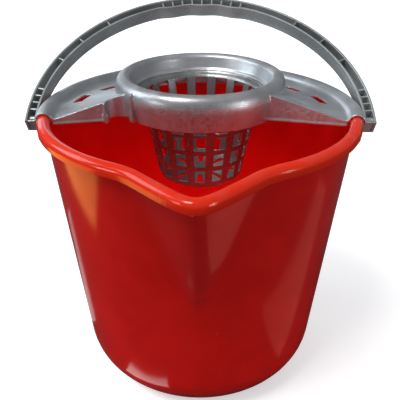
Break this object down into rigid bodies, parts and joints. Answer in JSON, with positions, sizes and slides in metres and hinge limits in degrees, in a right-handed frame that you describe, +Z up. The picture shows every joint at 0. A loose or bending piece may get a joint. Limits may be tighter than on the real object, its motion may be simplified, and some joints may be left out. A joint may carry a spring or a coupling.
{
  "type": "mop bucket with wringer",
  "caption": "Round plastic mop bucket with pouring spout, bail handle and a lift-out wringer: rim collar with funnel ring, pole clip and pierced cone basket.",
  "frame": {"origin": "on the floor, at the centre of the bucket's flat base, on the axis of its round wall", "axes": "+Z up, -Y towards the pouring spout, +X along the handle's pivot axis to the right of someone facing the spout's side"},
  "size_m": [0.3392, 0.3454, 0.3663],
  "materials": {
    "bucket_plastic": "glossy moulded polypropylene",
    "handle_plastic": "silver-grey moulded plastic, slightly darker than the wringer",
    "wringer_plastic": "silver-grey flake-filled moulded plastic, satin gloss",
    "basket_plastic": "silver-grey flake-filled moulded plastic, satin gloss"
  },
  "bodies": {
    "bucket": {"bucket": "bucket_plastic"},
    "handle": {"bail_handle": "handle_plastic"},
    "wringer": {"wringer_collar": "wringer_plastic", "wringer_basket": "basket_plastic"}
  },
  "joints": [
    {"name": "handle_swing", "type": "hinge", "parent": "bucket", "child": "handle", "pos_m": [0, 0.002, 0.2725], "axis": [1, 0, 0], "range_deg": [-56, 140]},
    {"name": "wringer_lift", "type": "slide", "parent": "bucket", "child": "wringer", "axis": [0, -0.342, 0.9397], "range_m": [0, 0.2]}
  ]
}
